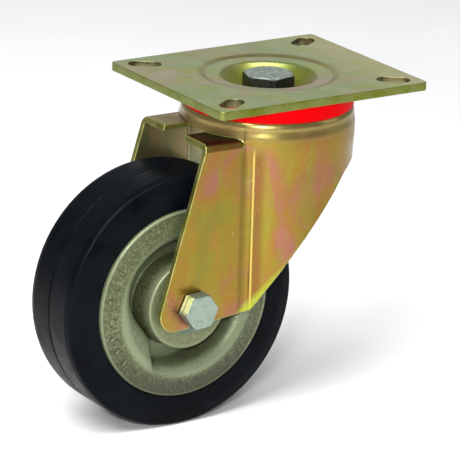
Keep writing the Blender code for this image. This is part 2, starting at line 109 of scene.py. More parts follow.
TYRE_LOW, TYRE_HIGH = box_mm("tyre")
WHEEL_RADIUS = (TYRE_HIGH.z - TYRE_LOW.z) / 2
RIM_RADIUS = 55.5
BOSS_RADIUS = 25.8
BOSS_HALF = 28.8
WEB_HALF = 12
CREST_EDGE = 36.8               # where the recess's wall turns over onto the crest
LUG_EDGE = [(0, 36.8), (60, 36.8), (100, 39.6), (142, 40.2), (154, 39.6), (167, 37.8),
            (179, 35.4), (195, 31.8), (209, 29.8), (219, 29.7), (224, 31.4), (229.5, 33.7),
            (234.5, 36.7), (240, 40.6), (246, 40.6), (276, 36.8), (360, 36.8)]
SPACER_RADIUS = 16.3
GAP = 0.3

DEPTH = 200                     # millimetres that a finish's factor of 1 stands for
SPAN = 100
FROM_AXLE = 80
QUARTER = 90                    # and degrees

ALONG_AXLE = Matrix.Translation((AXLE_X, 0, AXLE_Z)) @ Matrix.Rotation(math.radians(90), 4, "X")
FAR_SIDE = Matrix.Translation((AXLE_X, 0, AXLE_Z)) @ Matrix.Rotation(math.radians(-90), 4, "X")

# ---- node materials -----------------------------------------------------------------------


def node(tree, kind, inputs=(), **settings):
    """A shader node. An input is another node's output, or a value."""
    made = tree.nodes.new(kind)
    for key, value in settings.items():
        setattr(made, key, value)
    for key, value in dict(inputs).items():
        if isinstance(value, bpy.types.NodeSocket):
            tree.links.new(value, made.inputs[key])
        else:
            made.inputs[key].default_value = value
    return made


class Finish:
    """One procedural material, with short names for the nodes it is built from."""

    def __init__(self, name, metallic, **sockets):
        self.material = bpy.data.materials.new(name)
        self.material.use_nodes = True
        self.tree = self.material.node_tree
        self.shader = self.tree.nodes["Principled BSDF"]
        self.shader.inputs["Metallic"].default_value = metallic
        for key, value in sockets.items():
            self.shader.inputs[key.replace("_", " ")].default_value = value
        self.place = node(self.tree, "ShaderNodeTexCoord").outputs["Object"]

    def noise(self, size, detail=3, rough=0.55, warp=0.0, stretch=(1, 1, 1), turn=(0, 0, 0)):
        """Noise whose spots are about size millimetres across, times stretch."""
        turned = node(self.tree, "ShaderNodeMapping",
                      {"Vector": self.place, "Scale": [MM * size * s for s in stretch],
                       "Rotation": turn}, vector_type="TEXTURE")
        return node(self.tree, "ShaderNodeTexNoise",
                    {"Vector": turned.outputs[0], "Scale": 1.0, "Detail": detail,
                     "Roughness": rough, "Distortion": warp}).outputs["Fac"]

    def ramp(self, factor, *stops, scale=1.0):
        """Colours or grey levels along factor, as (position, value) pairs.

        Positions are in the factor's own units, which run from 0 to scale."""
        made = node(self.tree, "ShaderNodeValToRGB", {"Fac": factor})
        elements = made.color_ramp.elements
        while len(elements) < len(stops):
            elements.new(1.0)
        for element, (position, value) in zip(elements, stops):
            element.position = position / scale
            colour = value if isinstance(value, tuple) else (value, value, value)
            element.color = (*colour, 1.0)
        return made.outputs["Color"]

    def mix(self, factor, first, second, blend="MIX"):
        made = node(self.tree, "ShaderNodeMix", data_type="RGBA", blend_type=blend)
        for index, value in ((0, factor), (6, first), (7, second)):
            if isinstance(value, bpy.types.NodeSocket):
                self.tree.links.new(value, made.inputs[index])
            else:
                made.inputs[index].default_value = (*value, 1.0) if index else value
        return made.outputs[2]

    def math(self, operation, first, second):
        return node(self.tree, "ShaderNodeMath", {0: first, 1: second},
                    operation=operation).outputs[0]

    def part_of_place(self, axis):
        return node(self.tree, "ShaderNodeSeparateXYZ", {0: self.place}).outputs[axis]

    def from_axis(self, span):
        """Distance from the swivel axis, 0 on it and 1 at span millimetres."""
        scale = 1 / MM / span
        flat = node(self.tree, "ShaderNodeMapping",
                    {"Vector": self.place, "Scale": (scale, scale, 0)}).outputs[0]
        return node(self.tree, "ShaderNodeVectorMath", {0: flat},
                    operation="LENGTH").outputs["Value"]

    def along(self, axis, span):
        """Distance along an axis, 1 at span millimetres. A negative span looks backwards."""
        return self.math("MULTIPLY", self.part_of_place(axis), 1 / MM / span)

    def down(self):
        """Depth under the plate's top, 1 at DEPTH millimetres."""
        return self.along("Z", -DEPTH)

    def from_axle(self):
        """Distance from the wheel's axle line, 1 at FROM_AXLE millimetres."""
        scale = 1 / MM / FROM_AXLE
        flat = node(self.tree, "ShaderNodeMapping",
                    {"Vector": self.place, "Scale": (scale, 0, scale),
                     "Location": (-AXLE_X / FROM_AXLE, 0, -AXLE_Z / FROM_AXLE)}).outputs[0]
        return node(self.tree, "ShaderNodeVectorMath", {0: flat},
                    operation="LENGTH").outputs["Value"]

    def round_the_drum(self):
        """Angle round the swivel axis from -X, the same on both sides, 1 at QUARTER degrees."""
        across = self.math("ABSOLUTE", self.part_of_place("Y"), 0.0)
        ahead = self.math("MULTIPLY", self.part_of_place("X"), -1.0)
        return self.math("DIVIDE", self.math("ARCTAN2", across, ahead), math.pi / 2)

    def bump(self, height, distance, strength=1.0, over=None):
        """Raises the surface by up to distance millimetres where height is 1."""
        inputs = {"Height": height, "Distance": distance * MM, "Strength": strength}
        if over is not None:
            inputs["Normal"] = over
        return node(self.tree, "ShaderNodeBump", inputs).outputs["Normal"]

    def set(self, **sockets):
        for key, value in sockets.items():
            self.tree.links.new(value, self.shader.inputs[key.replace("_", " ")])
        return self.material


def scratches(finish, seed_turn):
    """A mask of fine short marks in two directions."""
    first = finish.noise(0.9, 2, 0.5, stretch=(1, 1, 6), turn=(0.5, 0.6 + seed_turn, 0.2))
    second = finish.noise(0.8, 2, 0.5, stretch=(7, 1, 1), turn=(0.2, 1.1 + seed_turn, 0.6))
    lines = finish.math("MAXIMUM", finish.ramp(first, (0.68, 0.0), (0.72, 1.0)),
                        finish.ramp(second, (0.69, 0.0), (0.73, 1.0)))
    where = finish.ramp(finish.noise(24, 2), (0.48, 0.0), (0.62, 1.0))
    return finish.math("MULTIPLY", lines, where)


def above_rear_edge(finish):
    """Distance in from the line of the fork's rear edge, 1 at SPAN millimetres."""
    run, rise = REAR_END[0] - REAR_START[0], REAR_END[1] - REAR_START[1]
    length = math.hypot(run, rise)
    up = finish.math("MULTIPLY", finish.along("Z", SPAN), run / length)
    ahead = finish.math("MULTIPLY", finish.along("X", SPAN), -rise / length)
    offset = (rise * REAR_START[0] - run * REAR_START[1]) / length / SPAN
    return finish.math("ADD", finish.math("ADD", up, ahead), offset)


def yellow_zinc():
    """Yellow passivated zinc on the fork: gold, with pink and olive clouds.

    Painted light on the drum: a painted highlight along the pressed bead, painted shade in the
    crease before it, a red-brown band of painted shade after it and painted shade towards the
    drum's back. The near shoulder's top is darkened with painted shade, and the rear edge is
    greener."""
    f = Finish("yellow_zinc", 0.92)
    clouds = f.noise(40, 3.0, 0.5, warp=1.0)
    colour = f.ramp(clouds, (0.28, (0.21, 0.165, 0.028)), (0.37, (0.255, 0.160, 0.026)),
                    (0.46, (0.27, 0.145, 0.026)), (0.55, (0.275, 0.130, 0.045)),
                    (0.64, (0.30, 0.120, 0.080)))
    streaks = f.noise(9, 3, 0.6, warp=0.4, stretch=(1, 1, 4))
    colour = f.mix(f.ramp(streaks, (0.46, 0.0), (0.62, 0.60)), colour, (0.22, 0.20, 0.022))
    crown = f.ramp(f.down(), (18.0, 0.55), (25.0, 0.40), (29.0, 0.0), scale=DEPTH)
    colour = f.mix(crown, colour, (0.36, 0.30, 0.13))
    below = f.ramp(f.down(), (31, 0.0), (37, 1.0), scale=DEPTH)
    turn = f.round_the_drum()
    # Painted shade in the crease before the bead, a red-brown band of painted shade after it, and
    # a painted highlight on the bead itself.
    painted_bead_bands = (((0.12, 0.085, 0.016), (40.8, 0.0), (42.2, 0.60), (44.5, 0.30), (48.3, 0.0)),
             ((0.17, 0.070, 0.020), (49.6, 0.0), (50.2, 0.75), (53.6, 0.70), (57.5, 0.0)),
             ((0.62, 0.43, 0.11), (48.3, 0.0), (48.7, 0.80), (49.2, 0.80), (49.7, 0.0)))
    for tone, *stops in painted_bead_bands:
        band = f.math("MULTIPLY", below, f.ramp(turn, *stops, scale=QUARTER))
        colour = f.mix(band, colour, tone)
    low = f.ramp(f.down(), (60.0, 0.0), (95.0, 1.0), scale=DEPTH)
    rear = f.math("MULTIPLY", f.ramp(turn, (78.0, 0.0), (90.0, 0.75), scale=QUARTER), low)
    colour = f.mix(rear, colour, (0.15, 0.105, 0.020))
    # Painted shade: the fork darkens towards its back.
    back = f.ramp(f.along("X", SPAN), (22.0, 0.0), (48.0, 0.55), scale=SPAN)
    colour = f.mix(back, colour, (0.105, 0.070, 0.025))
    rim = f.ramp(above_rear_edge(f), (1.0, 0.75), (4.2, 0.0), scale=SPAN)
    lower = f.ramp(f.down(), (80.0, 0.0), (108.0, 1.0), scale=DEPTH)
    colour = f.mix(f.math("MULTIPLY", rim, lower), colour, (0.34, 0.42, 0.030))
    # Painted shade: the near shoulder's top is darkened.
    near = f.ramp(f.along("Y", -SPAN), (8.0, 0.0), (12.0, 0.9), scale=SPAN)
    outside = f.ramp(f.from_axis(SPAN), (50.7, 0.0), (51.5, 1.0), scale=SPAN)
    shoulder = f.ramp(f.down(), (24.0, 0.0), (25.5, 1.0), (27.4, 1.0), (28.6, 0.0), scale=DEPTH)
    on_top = f.math("MULTIPLY", outside, shoulder)
    colour = f.mix(f.math("MULTIPLY", on_top, near), colour, (0.030, 0.014, 0.016))
    specks = f.ramp(f.noise(3.2, 2, 0.6), (0.68, 0.0), (0.76, 0.40))
    colour = f.mix(specks, colour, (0.38, 0.31, 0.17))
    marks = scratches(f, 0.0)
    colour = f.mix(f.math("MULTIPLY", marks, 0.45), colour, (0.46, 0.40, 0.26))
    rough = f.ramp(f.noise(12, 4), (0.35, 0.25), (0.65, 0.37))
    normal = f.bump(f.noise(0.9, 3), 0.004, 0.5, over=f.bump(f.noise(16, 2), 0.10))
    return f.set(Base_Color=colour, Roughness=rough, Normal=normal)


def inner_zinc():
    """The inside of the fork, where the passivation is thinner and greyer."""
    f = Finish("inner_zinc", 0.90)
    colour = f.ramp(f.noise(26, 3, 0.5, warp=0.8), (0.34, (0.13, 0.15, 0.085)),
                    (0.50, (0.25, 0.23, 0.10)), (0.66, (0.32, 0.22, 0.12)))
    rough = f.ramp(f.noise(12, 4), (0.35, 0.28), (0.65, 0.42))
    return f.set(Base_Color=colour, Roughness=rough, Normal=f.bump(f.noise(0.9, 3), 0.004, 0.5))


def olive_zinc():
    """The top plate: sage green with grey-pink clouds, yellower down in the dish."""
    f = Finish("olive_zinc", 0.88)
    clouds = f.noise(34, 3.0, 0.5, warp=0.9, stretch=(1.4, 1, 1))
    colour = f.ramp(clouds, (0.34, (0.23, 0.31, 0.095)), (0.45, (0.26, 0.30, 0.125)),
                    (0.55, (0.31, 0.285, 0.135)), (0.66, (0.38, 0.27, 0.19)))
    patches = f.ramp(f.noise(21, 3, 0.5, warp=0.6), (0.50, 0.0), (0.62, 0.75))
    colour = f.mix(patches, colour, (0.25, 0.30, 0.035))
    far = f.from_axis(60)
    colour = f.mix(f.ramp(far, (0.30, 0.85), (0.42, 0.65), (0.49, 0.0)), colour,
                   (0.26, 0.27, 0.020))
    colour = f.mix(f.ramp(far, (0.60, 0.0), (0.625, 0.60), (0.655, 0.60), (0.70, 0.0)), colour,
                   (0.20, 0.155, 0.045))
    ahead = f.ramp(f.along("X", SPAN), (30.0, 0.0), (60.0, 0.55), scale=SPAN)
    colour = f.mix(ahead, colour, (0.46, 0.42, 0.19))
    specks = f.ramp(f.noise(2.6, 2, 0.6), (0.70, 0.0), (0.78, 0.35))
    colour = f.mix(specks, colour, (0.45, 0.43, 0.32))
    marks = scratches(f, 0.8)
    colour = f.mix(f.math("MULTIPLY", marks, 0.25), colour, (0.50, 0.52, 0.40))
    rough = f.ramp(f.noise(14, 4), (0.35, 0.26), (0.65, 0.38))
    normal = f.bump(f.noise(0.9, 3), 0.003, 0.5, over=f.bump(f.noise(18, 2), 0.07))
    return f.set(Base_Color=colour, Roughness=rough, Normal=normal)


def sheared_edge(name, pale, deep):
    """The cut edges of a sheet, where the passivation is brighter and greener."""
    f = Finish(name, 0.80)
    drift = f.noise(11, 3, 0.6, warp=0.5)
    colour = f.ramp(drift, (0.35, deep), (0.62, pale))
    grain = f.noise(0.5, 2, 0.6, stretch=(6, 6, 1))
    rough = f.ramp(f.noise(5, 3), (0.3, 0.26), (0.7, 0.42))
    return f.set(Base_Color=colour, Roughness=rough, Normal=f.bump(grain, 0.03, 0.7))


def red_plastic():
    f = Finish("red_plastic", 0.0, Specular_IOR_Level=0.02)
    drift = f.noise(14, 3)
    colour = f.ramp(drift, (0.35, (0.60, 0.0004, 0.0014)), (0.65, (0.68, 0.0006, 0.0024)))
    rough = f.ramp(f.noise(6, 4), (0.35, 0.34), (0.65, 0.46))
    return f.set(Base_Color=colour, Roughness=rough, Normal=f.bump(f.noise(1.2, 3), 0.01, 0.5))


def black_oxide():
    """The kingpin's black oxide, worn to grey on the top of its head."""
    f = Finish("black_oxide", 0.4, Specular_IOR_Level=0.3)
    scuffs = f.noise(2.4, 4, 0.65)
    black = f.ramp(scuffs, (0.35, (0.004, 0.005, 0.005)), (0.75, (0.016, 0.018, 0.017)))
    grey = f.ramp(f.noise(3.5, 4, 0.6), (0.34, (0.060, 0.075, 0.062)), (0.50, (0.15, 0.18, 0.15)),
                  (0.70, (0.21, 0.245, 0.21)))
    worn = f.ramp(f.math("ADD", f.along("Z", 1), 1.6), (0.25, 0.0), (0.75, 1.0))
    colour = f.mix(worn, black, grey)
    rough = f.ramp(scuffs, (0.35, 0.36), (0.7, 0.52))
    return f.set(Base_Color=colour, Roughness=rough, Normal=f.bump(scuffs, 0.04, 0.5))


def clear_zinc(name, shade):
    """Zinc on the axle's bolt, nut and washers, faintly green. shade scales the colour down, and
    the washers' darker copy is painted shade.
    """
    f = Finish(name, 1.0)
    drift = f.noise(5, 4, 0.6)
    stops = [(0.32, (0.20, 0.27, 0.215)), (0.52, (0.25, 0.31, 0.26)), (0.72, (0.31, 0.34, 0.30))]
    colour = f.ramp(drift, *((at, tuple(shade * level for level in tone)) for at, tone in stops))
    rough = f.ramp(f.noise(2, 4), (0.35, 0.22), (0.68, 0.36))
    return f.set(Base_Color=colour, Roughness=rough, Normal=f.bump(f.noise(0.9, 3), 0.012, 0.5))


def bolt_sides():
    """The axle bolt's facets: a dark line runs round them. The upper front facet carries a
    painted reflection of the lit leg, and the other facets are darkened with painted shade.
    """
    f = Finish("bolt_sides", 0.25)
    line = f.ramp(f.along("Y", -SPAN), (38.3, 0.0), (38.7, 0.85), (39.1, 0.85), (39.5, 0.0),
                  scale=SPAN)
    # Yellow-green facets: a painted reflection of the lit yellow leg.
    colour = f.ramp(f.noise(5, 3), (0.35, (0.34, 0.40, 0.15)), (0.65, (0.48, 0.54, 0.27)))
    behind = f.ramp(f.along("X", -SPAN), (-AXLE_X + 4.5, 0.0), (-AXLE_X + 5.5, 1.0), scale=SPAN)
    upper = f.ramp(f.down(), (-AXLE_Z - 1.5, 1.0), (-AXLE_Z + 0.5, 0.0), scale=DEPTH)
    # Painted shade on every facet but the upper front one.
    colour = f.mix(f.math("MULTIPLY", behind, upper), (0.10, 0.12, 0.085), colour)
    return f.set(Base_Color=f.mix(line, colour, (0.05, 0.055, 0.03)),
                 Roughness=f.ramp(f.noise(2, 3), (0.35, 0.30), (0.65, 0.42)))


def plain_steel(name, colour, low, high):
    """Bearing parts: ground or pressed steel with a light film of oil."""
    f = Finish(name, 1.0)
    drift = f.noise(6, 4, 0.6)
    darker = tuple(channel * 0.75 for channel in colour)
    rough = f.ramp(f.noise(1.5, 3), (0.35, low), (0.65, high))
    return f.set(Base_Color=f.ramp(drift, (0.35, darker), (0.65, colour)), Roughness=rough,
                 Normal=f.bump(f.noise(0.6, 2), 0.004, 0.5))


def cast_iron():
    """The grainy casting under olive-green passivated zinc."""
    f = Finish("cast_iron", 0.45)
    sand = f.noise(1.5, 5, 0.7)
    drift = f.noise(22, 3)
    colour = f.ramp(sand, (0.32, (0.020, 0.026, 0.010)), (0.50, (0.072, 0.086, 0.039)),
                    (0.68, (0.180, 0.195, 0.100)))
    colour = f.mix(f.ramp(drift, (0.40, 0.0), (0.62, 0.35)), colour, (0.085, 0.098, 0.030))
    far = f.from_axle()
    # Painted highlights: lighter rings on the boss edge, the crest and the rim lip.
    painted_proud_highlights = f.ramp(far, (23.5, 0.0), (25.2, 0.5), (25.9, 0.5), (26.5, 0.0), (37.5, 0.0),
                   (39.5, 0.65), (42.0, 0.65), (44.5, 0.0), (53.4, 0.0), (54.2, 0.45),
                   (55.5, 0.45), scale=FROM_AXLE)
    colour = f.mix(painted_proud_highlights, colour, (0.25, 0.28, 0.17))
    # Painted light: the recess and the crest's inner slope are lightened.
    hollow = f.ramp(far, (26.5, 0.0), (29.0, 0.45), (41.0, 0.55), (45.0, 0.0), scale=FROM_AXLE)
    colour = f.mix(hollow, colour, (0.155, 0.185, 0.105))
    # Painted shade: the outer land goes dark on the lower part of the wheel.
    low = f.ramp(f.down(), (135.0, 0.0), (168.0, 0.6), scale=DEPTH)
    land = f.ramp(far, (43.0, 0.0), (48.0, 1.0), scale=FROM_AXLE)
    colour = f.mix(f.math("MULTIPLY", low, land), colour, (0.012, 0.015, 0.007))
    hub = f.ramp(far, (24.0, 0.30), (25.5, 0.0), scale=FROM_AXLE)
    colour = f.mix(hub, colour, (0.26, 0.30, 0.15))
    rough = f.ramp(sand, (0.3, 0.52), (0.7, 0.36))
    pits = f.ramp(f.noise(0.9, 3, 0.6), (0.30, 0.0), (0.45, 1.0))
    normal = f.bump(sand, 0.16, 0.8, over=f.bump(pits, 0.06, 0.7, over=f.bump(drift, 0.4)))
    return f.set(Base_Color=colour, Roughness=rough, Normal=normal)


def rubber():
    """Solid black rubber, with a blue-grey bloom and fine handling marks."""
    f = Finish("rubber", 0.0, Specular_IOR_Level=0.045)
    bloom = f.noise(30, 4, 0.6, warp=0.6)
    colour = f.ramp(bloom, (0.35, (0.0008, 0.0013, 0.0020)), (0.65, (0.0026, 0.0038, 0.0056)))
    marks = scratches(f, 0.3)
    colour = f.mix(f.math("MULTIPLY", marks, 0.30), colour, (0.018, 0.022, 0.028))
    rough = f.ramp(f.noise(9, 5, 0.65), (0.35, 0.30), (0.65, 0.46))
    normal = f.bump(f.noise(1.3, 4, 0.65), 0.03, 0.6, over=f.bump(f.noise(26, 2), 0.30))
    return f.set(Base_Color=colour, Roughness=rough, Normal=normal)


YELLOW_ZINC = yellow_zinc()
INNER_ZINC = inner_zinc()
OLIVE_ZINC = olive_zinc()
FORK_EDGE = sheared_edge("fork_edge", (0.40, 0.38, 0.14), (0.26, 0.28, 0.040))
FORK_CUT = sheared_edge("fork_cut", (0.24, 0.23, 0.065), (0.13, 0.13, 0.022))
PLATE_EDGE = sheared_edge("plate_edge", (0.17, 0.19, 0.05), (0.125, 0.145, 0.010))
# Painted shade: the slot walls take a much darker cut-edge colour for the shade inside the slots.
SHADED_SLOT_WALL = sheared_edge("slot_wall_shaded", (0.15, 0.13, 0.06), (0.045, 0.038, 0.015))
RED_PLASTIC = red_plastic()
BLACK_OXIDE = black_oxide()
CLEAR_ZINC = clear_zinc("clear_zinc", 1.0)
# Painted shade: the washers, in the narrow gap between fork and wheel, take the zinc at 0.45 of
# its brightness.
SHADED_ZINC = clear_zinc("shaded_zinc", 0.45)
BOLT_SIDES = bolt_sides()
BEARING_STEEL = plain_steel("bearing_steel", (0.62, 0.62, 0.64), 0.12, 0.24)
CAGE_STEEL = plain_steel("cage_steel", (0.50, 0.46, 0.38), 0.30, 0.46)
CAST_IRON = cast_iron()
RUBBER = rubber()

# ---- outlines and meshes ------------------------------------------------------------------


def arc(centre, radius, start, end, steps):
    """Points on a circle, from one angle to another in degrees, both ends included."""
    angles = [math.radians(start + (end - start) * i / steps) for i in range(steps + 1)]
    return [(centre[0] + radius * math.cos(a), centre[1] + radius * math.sin(a)) for a in angles]


def rounded(corners, steps=6, closed=True):
    """An outline from corners given as (x, y, radius), each turned into an arc.

    The end points of an open outline stay sharp."""
    outline = []
    count = len(corners)
    for i, (x, y, radius) in enumerate(corners):
        if radius == 0 or (not closed and i in (0, count - 1)):
            outline.append((x, y))
            continue
        corner = Vector((x, y))
        before = (Vector(corners[i - 1][:2]) - corner).normalized()
        after = (Vector(corners[(i + 1) % count][:2]) - corner).normalized()
        half = before.angle(after) / 2
        centre = corner + (before + after).normalized() * radius / math.sin(half)
        first = corner + before * radius / math.tan(half) - centre
        last = corner + after * radius / math.tan(half) - centre
        sweep = first.angle_signed(last)
        for k in range(steps + 1):
            outline.append(tuple(centre + Matrix.Rotation(-sweep * k / steps, 2) @ first))
    return outline


def sagging_arc(start, end, sag, steps):
    """Points on the arc from start to end that bulges to the left of its chord by sag."""
    a, b = Vector(start), Vector(end)
    chord = b - a
    radius = chord.length ** 2 / (8 * sag) + sag / 2
    normal = Vector((-chord.y, chord.x)).normalized()
    centre = (a + b) / 2 - normal * (radius - sag)
    sweep = 2 * math.asin(chord.length / 2 / radius)
    return [tuple(centre + Matrix.Rotation(-sweep * k / steps, 2) @ (a - centre))
            for k in range(steps + 1)]


def finished(name, bm, material, place=None):
    """An object from a bmesh in millimetres, scaled to metres and put in its place."""
    bmesh.ops.recalc_face_normals(bm, faces=bm.faces)
    if place is not None:
        bm.transform(place)
    bm.transform(Matrix.Scale(MM, 4))
    mesh = bpy.data.meshes.new(name)
    bm.to_mesh(mesh)
    bm.free()
    mesh.materials.append(material)
    mesh.shade_smooth()
    obj = bpy.data.objects.new(name, mesh)
    bpy.context.scene.collection.objects.link(obj)
    return obj


def lathe(name, profile, steps, material, swell=None, place=None):
    """A profile of (radius, height) points turned about Z.

    It is a ring, or a solid if it starts and ends on the axis. swell(turn, radius, height)
    gives a radius that changes round the axis."""
    bm = bmesh.new()
    rings = []
    for radius, height in profile:
        turns = [0.0] if radius == 0 else [2 * math.pi * i / steps for i in range(steps)]
        ring = []
        for turn in turns:
            reach = swell(turn, radius, height) if swell else radius
            ring.append(bm.verts.new((reach * math.cos(turn), reach * math.sin(turn), height)))
        rings.append(ring)
    pairs = list(zip(rings, rings[1:]))
    if profile[0][0] > 0:
        pairs.append((rings[-1], rings[0]))
    for low, high in pairs:
        for i in range(steps):
            j = i + 1
            corners = [low[i % len(low)], low[j % len(low)], high[j % len(high)],
                       high[i % len(high)]]
            corners = list(dict.fromkeys(corners))
            if len(corners) > 2:
                bm.faces.new(corners)
    return finished(name, bm, material, place)


def prism(name, outline, low, high, material, place=None):
    """A flat outline of (x, y) points, raised from low to high along Z."""
    bm = bmesh.new()
    face = bm.faces.new([bm.verts.new((x, y, low)) for x, y in outline])
    raised = bmesh.ops.extrude_face_region(bm, geom=[face])
    top = [item for item in raised["geom"] if isinstance(item, bmesh.types.BMVert)]
    bmesh.ops.translate(bm, verts=top, vec=(0, 0, high - low))
    return finished(name, bm, material, place)


def block(name, low, high, material):
    outline = [(low[0], low[1]), (high[0], low[1]), (high[0], high[1]), (low[0], high[1])]
    return prism(name, outline, low[2], high[2], material)


def combined(obj, *steps):
    """Applies (operation, tool) cuts in turn. Cut faces take the tool's own material."""
    for operation, tool in steps:
        modifier = obj.modifiers.new(tool.name, "BOOLEAN")
        modifier.operation = operation
        modifier.object = tool
        modifier.solver = "EXACT"
        modifier.material_mode = "TRANSFER"
    weld = obj.modifiers.new("weld", "WELD")
    weld.merge_threshold = 0.02 * MM
    settle(obj)
    for _, tool in steps:
        bpy.data.objects.remove(tool)
    return obj


def settle(obj):
    """Applies the modifiers."""
    bpy.context.view_layer.update()
    depsgraph = bpy.context.evaluated_depsgraph_get()
    mesh = bpy.data.meshes.new_from_object(obj.evaluated_get(depsgraph))
    obj.modifiers.clear()
    obj.data = mesh


def eased(obj, width, angle=38, segments=2, finish=None):
    """Rounds the edges sharper than angle, and keeps flat faces flat in the shading."""
    bevel = obj.modifiers.new("eased_edges", "BEVEL")
    bevel.width = width * MM
    bevel.segments = segments
    bevel.limit_method = "ANGLE"
    bevel.angle_limit = math.radians(angle)
    bevel.use_clamp_overlap = False
    bevel.miter_outer = "MITER_ARC"
    if finish is not None:
        bevel.material = obj.data.materials.find(finish.name)
    even = obj.modifiers.new("even_shading", "WEIGHTED_NORMAL")
    even.keep_sharp = True
    obj.data.shade_smooth()
    return obj


def stands_for(obj, body, slot, *nodes):
    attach(obj, body)
    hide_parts(*nodes)


# ---- bolts, nuts and washers --------------------------------------------------------------


def hexagon(name, flats, low, high, material):
    """A hexagon bar with two of its corners at +X and -X."""
    return prism(name, arc((0, 0), flats / math.sqrt(3), 0, 300, 5), low, high, material)


def threaded(radius, pitch):
    """The swell of a thread that winds down the shank."""
    depth = 0.61 * pitch

    def swell(turn, reach, height):
        phase = (height / pitch - turn / (2 * math.pi)) % 1
        return reach - depth * (1 - abs(2 * phase - 1)) if reach == radius else reach
    return swell


def shank(name, radius, top, end, thread_top, pitch, material):
    """A bolt's shank: plain down to thread_top, then threaded, with a chamfered end."""
    rows = 8
    count = int((thread_top - end - pitch) / pitch * rows)
    profile = [(0, top), (radius - 0.01, top), (radius - 0.01, thread_top + 0.3)]
    profile += [(radius, thread_top - i * pitch / rows) for i in range(count)]
    profile += [(radius - pitch * 0.7, end + 0.8), (radius - pitch, end), (0, end)]
    return lathe(name, profile, 64, material, swell=threaded(radius, pitch))


def chamfered_ends(flats, low, high, both, share=0.95):
    """The turned shape a hexagon is trimmed to. share is the face's radius over half flats."""
    corner = flats / math.sqrt(3) + 0.2
    flat = flats / 2 * share
    drop = (corner - flat) * math.tan(math.radians(28))
    bottom = [(corner, low + drop), (flat, low)] if both else [(corner, low)]
    return [(0, high), (flat, high), (corner, high - drop), *bottom, (0, low)]


def bolt(name, flats, head, radius, end, thread_top, pitch, material, sides, place,
         share=0.95):
    """A hexagon bolt whose head stands on height 0, with a washer face under it.

    The facets have their own material, sides."""
    body = hexagon(name, flats, 0.4, head + 1, sides)
    head_shape = lathe("head_trim", chamfered_ends(flats, 0.0, head, False, share), 96, material)
    face = lathe("washer_face", [(0, 0.8), (flats / 2 * 0.93, 0.8), (flats / 2 * 0.93, 0),
                                 (0, 0)], 64, material)
    combined(body, ("INTERSECT", head_shape), ("UNION", face))
    stem = shank("stem", radius, 0.4, end, thread_top, pitch, material)
    combined(body, ("UNION", stem))
    body.data.transform(Matrix.Scale(MM, 4) @ place @ Matrix.Scale(1 / MM, 4))
    return eased(body, 0.3, angle=25)


def nut(name, flats, height, bore, material, place):
    """A hexagon nut that stands on height 0, chamfered at both ends."""
    body = hexagon(name, flats, -1, height + 1, material)
    shape = lathe("nut_trim", chamfered_ends(flats, 0.0, height, True), 96, material)
    hole = lathe("nut_hole", [(0, height + 2), (bore + 2.6, height + 2), (bore, height - 0.6),
                              (bore, 0.6), (bore + 2.6, -2), (0, -2)], 64, material)
    combined(body, ("INTERSECT", shape), ("DIFFERENCE", hole))
    body.data.transform(Matrix.Scale(MM, 4) @ place @ Matrix.Scale(1 / MM, 4))
    return eased(body, 0.3, angle=25)


def kingpin():
    head = -DISH_FLOOR_Z
    seat = DISH_FLOOR_Z + GAP
    place = Matrix.Translation((0, 0, seat)) @ Matrix.Rotation(KINGPIN_TURN, 4, "Z")
    pin = bolt("kingpin_hex_bolt", KINGPIN_FLATS, head - 2 * GAP + 0.1, KINGPIN_RADIUS,
               KINGPIN_END - seat, KINGPIN_THREAD_TOP, KINGPIN_PITCH, BLACK_OXIDE,
               BLACK_OXIDE, place)
    stands_for(pin, "mounting_plate", "black_bolt", "kingpin_bolt")
    low, high = box_mm("kingpin_nut")
    lock = nut("kingpin_hex_nut", KINGPIN_FLATS, high.z - low.z, KINGPIN_RADIUS + GAP,
               CLEAR_ZINC, Matrix.Translation((0, 0, low.z)))
    stands_for(lock, "mounting_plate", "clear_zinc", "kingpin_nut")


def axle():
    seat = -CHEEK_HALF - GAP
    end = box_mm("axle_bolt")[1].y
    place = Matrix.Translation((0, 0, -seat)) @ Matrix.Rotation(AXLE_TURN, 4, "Z")
    pin = bolt("axle_hex_bolt", AXLE_FLATS, AXLE_HEAD, AXLE_RADIUS, seat - end,
               AXLE_THREAD_TOP, AXLE_PITCH, CLEAR_ZINC, BOLT_SIDES, ALONG_AXLE @ place,
               share=1.07)
    stands_for(pin, "swivel_fork", "clear_zinc", "axle_bolt")
    low, high = box_mm("axle_nut")
    lock = nut("axle_hex_nut", AXLE_FLATS, high.y - low.y, AXLE_RADIUS + GAP, CLEAR_ZINC,
               FAR_SIDE @ Matrix.Translation((0, 0, low.y)))
    stands_for(lock, "swivel_fork", "clear_zinc", "axle_nut")
    for label, place in (("near", ALONG_AXLE), ("far", FAR_SIDE)):
        low, high = box_mm(f"axle_spacer_{label}")
        inner, outer = sorted((abs(low.y), abs(high.y)))
        profile = rounded([(AXLE_RADIUS + GAP, outer, 0.2), (SPACER_RADIUS, outer, 0.5),
                           (SPACER_RADIUS, inner, 0.3), (AXLE_RADIUS + GAP, inner, 0.2)], 3)
        # The washers take the darkened zinc, painted shade for their gap.
        washer = lathe(f"axle_washer_{label}", profile, 96, SHADED_ZINC, place=place)
        stands_for(eased(washer, 0.05, angle=80), "swivel_fork", "clear_zinc",
                   f"axle_spacer_{label}")


# ---- swivel head --------------------------------------------------------------------------


